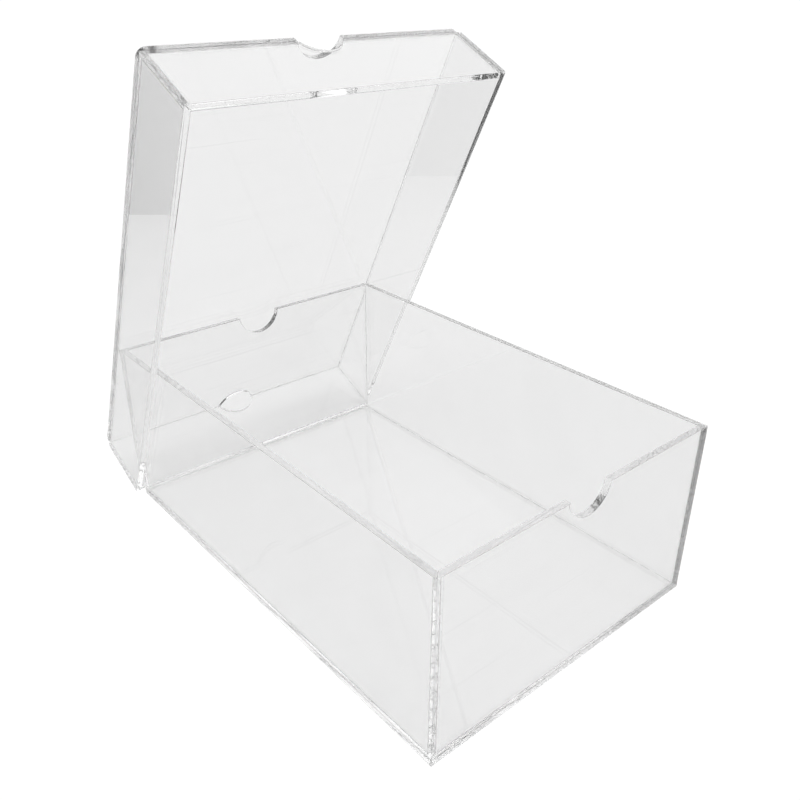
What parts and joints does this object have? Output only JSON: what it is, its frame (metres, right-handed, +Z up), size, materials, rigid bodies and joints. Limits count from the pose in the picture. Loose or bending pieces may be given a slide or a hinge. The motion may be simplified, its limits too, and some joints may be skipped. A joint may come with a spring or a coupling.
{
  "type": "shoe box",
  "caption": "Clear acrylic shoe box: a welded open tray with thumb notches, and a separate skirted lid that stands behind it and leans on its rear wall.",
  "frame": {"origin": "centre of the tray's underside", "axes": "+Z up; +Y along the box's length, from the open front end towards the standing lid; +X to the right seen from the front"},
  "size_m": [0.2396, 0.3993, 0.3411],
  "materials": {
    "acrylic": "clear, polished faces, laser-cut edges"
  },
  "bodies": {
    "tray": {"tray_floor": "acrylic", "tray_left_wall": "acrylic", "tray_right_wall": "acrylic", "tray_front_wall": "acrylic", "tray_rear_wall": "acrylic"},
    "lid": {"lid_top_panel": "acrylic", "lid_left_skirt": "acrylic", "lid_right_skirt": "acrylic", "lid_front_skirt": "acrylic", "lid_rear_skirt": "acrylic"}
  },
  "joints": [
    {"name": "lid_lift", "type": "slide", "parent": "tray", "child": "lid", "axis": [0, 0, 1], "range_m": [0, 0.2]}
  ]
}
